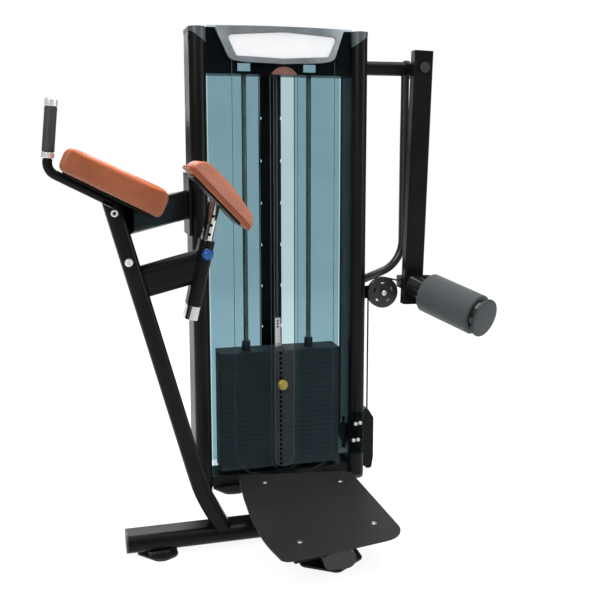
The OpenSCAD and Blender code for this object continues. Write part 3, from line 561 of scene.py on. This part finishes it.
def pad(name, outline, y0, y1, M, rim, body, nodes, cap=4.0, pressure=4.0, held=6.0, mat="leather"):
    """A stuffed pad: an outline in local X and Z run from y0 to y1, inflated as cloth on its base.

    The lowest held mm stay put, and no point moves further than cap mm."""
    verts, faces = prism(outline, y0, y1, "y")
    o = add(name, verts, faces, mat, None, M)
    rim_bevel(o, rim, 5, 50)
    r = o.modifiers.new("skin", "REMESH")
    r.mode, r.voxel_size = "VOXEL", VOXEL
    s = o.modifiers.new("even", "SMOOTH")
    s.factor, s.iterations = 0.5, 4
    bake(o)
    inv = M.inverted()
    local = [inv @ (v.co * 1000 - ORIGIN) for v in o.data.vertices]
    base = min(p.z for p in local)
    rest = [v.co.copy() for v in o.data.vertices]
    group = o.vertex_groups.new(name="base")
    group.add([i for i, p in enumerate(local) if p.z < base + held], 1.0, "REPLACE")
    c = o.modifiers.new("cloth", "CLOTH")
    c.settings.quality = 5
    c.settings.mass = 0.3
    c.settings.tension_stiffness = c.settings.compression_stiffness = 25
    c.settings.shear_stiffness = 12
    c.settings.bending_stiffness = 3
    c.settings.use_pressure = True
    c.settings.uniform_pressure_force = pressure
    c.settings.effector_weights.gravity = 0
    c.settings.vertex_group_mass = "base"
    for f in range(1, CLOTH_FRAMES + 1):
        bpy.context.scene.frame_set(f)
    bake(o)
    bpy.context.scene.frame_set(1)
    for v, p in zip(o.data.vertices, rest):
        step = v.co - p
        if step.length > cap / 1000:
            step *= cap / 1000 / step.length
        v.co = p + step
    o.vertex_groups.clear()
    sub = o.modifiers.new("sub", "SUBSURF")
    sub.levels = sub.render_levels = 1
    o.data.shade_smooth()
    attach(o, body)
    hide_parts(*nodes)


def rounded(points, radii, n=5):
    """A closed outline with its corners rounded."""
    closed = [points[-1]] + list(points) + [points[0]]
    full = fillet(closed, [0] + list(radii) + [0], n)
    return full[1:-1]


elbow = rounded([(-6, -56), (266, -69), (266, 2), (-6, 5.5)], (9, 14, 24, 16))
pad("elbow_cushion", elbow, 3, 177, ELBOW, 10, "frame", ("elbow_pad",), cap=1.6, pressure=1.5)
crown = rounded([(3, -2.5), (224, -2.5), (223, 5), (205, 24), (150, 32), (105, 36.5), (60, 37), (18, 35.5),
                 (5, 16)], (1, 1, 4, 13, 100, 100, 80, 18, 12), 4)
# the chest cushion takes the lighter, pinker leather copy: painted sheen
pad("chest_cushion", crown, 3, 147, CHEST, 8, "chest", ("chest_pad",), cap=3.5, held=5.0, mat="leather_painted_sheen")


def welt(name, outline, radii, y0, y1, rim):
    """A thin layer with rounded edges under the chest cushion."""
    verts, faces = prism(rounded(outline, radii, 3), y0, y1, "y")
    o = add(name, verts, faces, "leather", "chest", CHEST)
    rim_bevel(o, rim, 3, 40).harden_normals = True


welt("chest_welt", [(1.5, -12.8), (223.5, -12.8), (223.5, -7.6), (0, -7.6)], (2.5, 2, 2, 2), 1.2, 148.8, 2)
welt("chest_welt_lip", [(-1.5, -7.2), (221.5, -7.2), (221.5, -3), (-1.5, -3)], (2, 2, 1.5, 1.5),
     0.6, 149.4, 1.6)

# ---------------------------------------------------------------- roller
foam_o = lathe("foam_roller", [(16.2, 0), (60, 0.0), (65.5, 1.0), (65.5, 98), (65.5, 195), (60, 196),
                               (16.2, 196)], [0, 9, 6, 0, 6, 9, 0], "foam", "roller", ROLLER, seg=96,
               replaces=("roller_foam",))
lathe("roller_end_ring", [(16, 196.2), (51, 196.2), (52, 198), (52, 215), (16, 215)], [0, 1, 2, 1, 0],
      "gloss", "roller", ROLLER, seg=72)
lathe("roller_end_cap", [(16, 214.6), (57, 214.6), (62, 217.2), (62, 226.4), (55, 226.4), (0, 226.4)],
      [0, 2, 3, 5, 4, 0], "rcap", "roller", ROLLER, seg=96, replaces=("roller_caps",))

# ---------------------------------------------------------------- grip and knobs
lathe("grip_sleeve", [(10.2, 24.2), (14.5, 24.2), (15.9, 26), (15.9, 137.6), (14.5, 139.2), (10.2, 139.2)],
      [0, 1.5, 2, 2, 1.5, 0], "rubber", "frame", GRIP, seg=48, replaces=("handle_grip",))
for i, z in enumerate((31, 132)):
    lathe("grip_bead_%d" % i, [(15.6, z - 1.6), (16.6, z - 0.8), (16.6, z + 0.8), (15.6, z + 1.6)],
          [0, 0.8, 0.8, 0], "rubber", "frame", GRIP, seg=48)
lathe("grip_end_cap", [(10.2, 139.6), (15.4, 139.6), (16.2, 141), (16.2, 156.5), (14, 159.6), (0, 159.6)],
      [0, 1, 1.5, 2.5, 2.5, 0], "bright", "frame", GRIP, seg=48, replaces=("grip_collars",))
lathe("grip_lower_collar", [(10.2, 9.3), (15.6, 9.3), (16.3, 10.6), (16.3, 22.4), (15.6, 23.8), (10.2, 23.8)],
      [0, 1, 1.5, 1.5, 1, 0], "bright", "frame", GRIP, seg=48)
KNOB = SLEEVE @ T(0, -44, 57) @ FRONT
lathe("lock_knob_ball", [(4.1, -15.5), (4.1, 4.3), (6, 4.3), (6, 9), (9, 9.5), (15, 14), (16, 20), (13.5, 29),
                         (7, 34), (0, 34.5)], [0, 0, 0.5, 1, 3, 6, 8, 8, 6, 0], "blue", "knob", KNOB,
      seg=48, replaces=("lock_knob",))
PIN = T(0, 18, 346.6) @ FRONT
lathe("pin_knob_cap", [(5.1, 0), (12.5, 0), (13, 4), (13, 6), (16.2, 6.4), (17, 8.5), (17, 17.5),
                       (15.5, 20.5), (10, 24), (0, 24)], [0, 1, 1, 1, 1, 2, 3, 4, 5, 0], "yellow", "pin", PIN,
      seg=48, replaces=("pin_knob",))

# ---------------------------------------------------------------- cover details
def on_cover(points, out):
    """(x, z) points laid on the front cover, out mm proud of it."""
    return [(x, cover_y(x) - out, z) for x, z in points]


def down_line(x_side, z_top, z_low, r):
    """A contour down one side of the cover that turns in along its bottom edge."""
    s = 1 if x_side > 0 else -1
    cx, cz = x_side - s * r, z_low + r
    pts = [(x_side, z) for z in range(z_top, cz, -40)]
    return pts + [(cx + s * r * math.cos(math.radians(a)), cz - r * math.sin(math.radians(a)))
                  for a in range(0, 91, 9)]


def u_line(x_left, x_right, z_mid, r, n):
    """A line down the slot's left side, round its bottom and up its right side."""
    return ([(x_left, z) for z in range(1340, 110, -30)] + arc(x_left + r, z_mid, r, 180, 270, n)
            + arc(x_right - r, z_mid, r, 270, 360, n) + [(x_right, z) for z in range(110, 1341, 30)])


# painted shade: the cover's embossed contours and the slot's lip are drawn as dark opaque beads, standing in
# for the shade along the ridges
for side, x in (("left", -160), ("right", 170)):
    tube("cover_contour_" + side, on_cover(down_line(x, 1384, 60, 70), 0.4), 0.9, "line", "frame", seg=8)
tube("slot_lip", on_cover(u_line(-32, 34, 106, 28, 8), 0.2), 1.5, "line", "frame", seg=10)
tube("slot_contour", on_cover(u_line(-43, 45, 104, 40, 10), 0.4), 0.8, "line", "frame", seg=8)

# ---------------------------------------------------------------- bolts and feet
BOLT_SEG = 36
FLAT = math.radians(30)  # half the angle one flat of a hexagon takes
SOCKET = 0.5  # the head's flat ring starts at this part of its radius
HEXAGON = 0.86  # the hexagon's corners, as a part of that ring


def bolt(name, M, r, h, mat="bright"):
    """A button head with a hexagon socket; local +Z points out of the head."""
    n = BOLT_SEG
    profile = [(r, 0), (r, h * 0.35), (r * 0.72, h), (r * SOCKET, h)]
    v, f = turned(fillet(profile, [0, h * 0.3, h * 0.4, 0], 4), n)
    edge = list(range(len(v) - n, len(v)))
    hexa = []
    for i in range(n):
        k = 2 * math.pi * i / n
        d = r * SOCKET * HEXAGON * math.cos(FLAT) / math.cos(k % (2 * FLAT) - FLAT)
        hexa.append((d * math.cos(k), d * math.sin(k)))
    top = len(v)
    v += [(x, y, h) for x, y in hexa] + [(x, y, h * 0.3) for x, y in hexa] + [(0, 0, h * 0.3), (0, 0, 0)]
    for i in range(n):
        j = (i + 1) % n
        f.append((edge[i], edge[j], top + j, top + i))
        f.append((top + i, top + j, top + n + j, top + n + i))
        f.append((top + n + i, top + n + j, top + 2 * n))
    f += [(i, (i + 1) % n, len(v) - 1) for i in range(n)]
    return add(name, v, f, mat, "frame", M)


for i, (x, z) in enumerate(((250, 195), (266, 197), (243, 138), (259, 139))):
    bolt("window_bolt_%d" % i, T(x, -4.3, z) @ FRONT, 6.5, 6)
STEP = ((-113, -221), (110, -272), (109.65, -572.9), (-112.65, -627.1))
for i, (x, y) in enumerate(STEP):
    bolt("step_bolt_%d" % i, T(x, y, 112), 8, 3, mat="steel")
bolt("leg_bolt_low", T(-510, -398.2, 824) @ FRONT, 11, 4.5)
bolt("side_wheel_bolt", T(370, 60, 626.5) @ FRONT, 9.5, 5)
HIGH = T(-543, -398.2, 953) @ FRONT
lathe("leg_ring_washer", [(4.5, 0), (9.5, 0), (9.5, 2.8), (4.5, 2.8), (4.5, 0)], [0, 0.6, 1, 1, 0],
      "bright", "frame", HIGH, seg=40)
first = bolt("leg_bolt_high", HIGH, 4.6, 2, mat="plastic")
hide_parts("frame_bolts")


def upright(name, outline, low, high, mat):
    """A piece with a flat outline in X and Y, standing from low to high."""
    verts, faces = prism(outline, low, high)
    return add(name, verts, faces, mat, "frame")


def foot(name, outline, radii, block, top):
    """A moulded foot: a flat shaped pad with a rounded rim and a block up to the beam."""
    rim_bevel(upright(name, rounded(outline, radii, 8), 0, 6.9, "foot"), 2.2, 3, 50)
    cx, cy, w, d = block
    corners = [(cx + i * w / 2, cy + j * d / 2) for i, j in ((-1, -1), (1, -1), (1, 1), (-1, 1))]
    upright(name + "_block", rounded(corners, (10,) * 4, 6), 6.5, top, "foot")


foot("foot_leg_end", [(-512, -358), (-450, -427), (-398, -398), (-398, -318), (-450, -289)],
     (14, 30, 26, 26, 30), (-450, -358, 60, 70), 17.8)
foot("foot_step", [(0, -609), (88, -548), (88, -492), (0, -431), (-88, -492), (-88, -548)], (20,) * 6,
     (0, -520, 70, 60), 17.8)
TOWER_FOOT = ((-232, 38), (-196, -22), (-150, -26), (-112, 10), (-112, 66), (-150, 102), (-196, 98))
for side, s in (("right", -1), ("left", 1)):
    foot("foot_tower_" + side, [(s * x, y) for x, y in TOWER_FOOT], (12, 30, 30, 24, 24, 30, 30),
         (s * -172, 66, 60, 50), 11.6)
POST_X, POST_R = 261.0, 26
for side, x in (("left", -POST_X), ("right", POST_X)):
    line = arc(x, 130, POST_R, 0, 180) + arc(x, 26.5, POST_R, 180, 360)
    shoe = upright("post_shoe_" + side, line, 0, 11.9, "rubber")
    rim_bevel(shoe, 1.5, 2, 50)
    if side == "left":
        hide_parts("rubber_feet")

# ---------------------------------------------------------------- CAD nodes that keep their shape
for names, mat, width in (
        ("spine_beam front_beam left_post right_post base_beam top_beam leg upper_link lower_link "
         "pad_support chest_sleeve side_bracket pivot_bracket swing_arm arm_bracket plate_risers "
         "chest_board pulley_hanger rear_upright lower_guard", "black", 1.2),
        ("brace", "brace", 0),
        ("foot_plate", "step", 1.5),
        ("top_plate lifted_plates resting_plates", "iron", 1.2),
        ("plate_bushings pivot_shaft beam_caps side_pulley lower_pulley top_pulley_left "
         "top_pulley_right", "plastic", 0.8),
        ("stack_bumpers", "rubber", 1.0),
        ("guide_rods", "rod", 0.5),
        ("selector_stem", "steel", 0.5),
        ("selector_pin", "steel", 0.8),
        ("roller_axle", "gloss", 0.8),
        ("chest_tube sleeve_ferrule", "chrome", 0.6),
        ("post_caps", "cap", 3.0),
        ("shroud", "silver", 1.6),
        ("shroud_panel", "white", 0.8),
        ("slot_cap", "dots", 0.8),
        ("main_cable", "cable", 0),
        ("front_cover rear_covers guard_window", "tint", 0.4)):
    for name in names.split():
        dress(name, mat, width)
for name in ("front_cover", "rear_covers", "guard_window"):
    NODES[name].visible_shadow = False

# ---------------------------------------------------------------- floor, light, world
bm = bmesh.new()
bmesh.ops.create_grid(bm, x_segments=1, y_segments=1, size=25)
floor_mesh = bpy.data.meshes.new("floor")
bm.to_mesh(floor_mesh)
bm.free()
floor = bpy.data.objects.new("floor", floor_mesh)
floor.location.z = -0.0005
bpy.context.scene.collection.objects.link(floor)
m, t, b = shader("pale_floor")
b.inputs["Base Color"].default_value = (0.2, 0.2, 0.2, 1)
b.inputs["Roughness"].default_value = 0.7
b.inputs["Emission Color"].default_value = (1, 1, 1, 1)
b.inputs["Emission Strength"].default_value = 0.9
m.cycles.emission_sampling = "NONE"
floor_mesh.materials.append(m)


def softbox(name, where, target, size, power, height=None):
    """A rectangular area light that aims at target and isn't seen through the covers."""
    d = bpy.data.lights.new(name, "AREA")
    d.shape = "RECTANGLE"
    d.size, d.size_y = size, height or size
    d.energy = power
    o = bpy.data.objects.new(name, d)
    o.location = where
    o.rotation_euler = (Vector(target) - Vector(where)).to_track_quat("-Z", "Y").to_euler()
    o.visible_transmission = False
    bpy.context.scene.collection.objects.link(o)


softbox("key_left", (-2.6, -2.6, 3.0), (-0.1, 0, 0.8), 1.6, 95, 2.2)
softbox("fill_right", (3.2, -1.8, 1.6), (0.2, 0, 0.8), 1.2, 42, 2.4)
softbox("top", (0.2, 0.2, 3.6), (0.1, 0, 0.5), 2.6, 80)
softbox("back", (0.4, 3.4, 2.4), (0, 0, 0.9), 2.4, 60)

world = bpy.data.worlds.new("studio")
bpy.context.scene.world = world
world.use_nodes = True
t = world.node_tree
t.nodes.clear()
out = t.nodes.new("ShaderNodeOutputWorld")
path = t.nodes.new("ShaderNodeLightPath")
way = t.nodes.new("ShaderNodeTexCoord")
split = t.nodes.new("ShaderNodeSeparateXYZ")
t.links.new(way.outputs["Generated"], split.inputs[0])
level = span(t, split.outputs["Z"], 0.08, 0.7, 0.0, 0.9)
env = t.nodes.new("ShaderNodeBackground")
t.links.new(level, env.inputs["Strength"])
plain = t.nodes.new("ShaderNodeBackground")
plain.inputs["Color"].default_value = (1, 1, 1, 1)
seen = math_node(t, "MAXIMUM", path.outputs["Is Camera Ray"], path.outputs["Is Transmission Ray"])
blend = t.nodes.new("ShaderNodeMixShader")
t.links.new(seen, blend.inputs[0])
t.links.new(env.outputs[0], blend.inputs[1])
t.links.new(plain.outputs[0], blend.inputs[2])
t.links.new(blend.outputs[0], out.inputs["Surface"])
bpy.context.scene.view_settings.view_transform = "Standard"
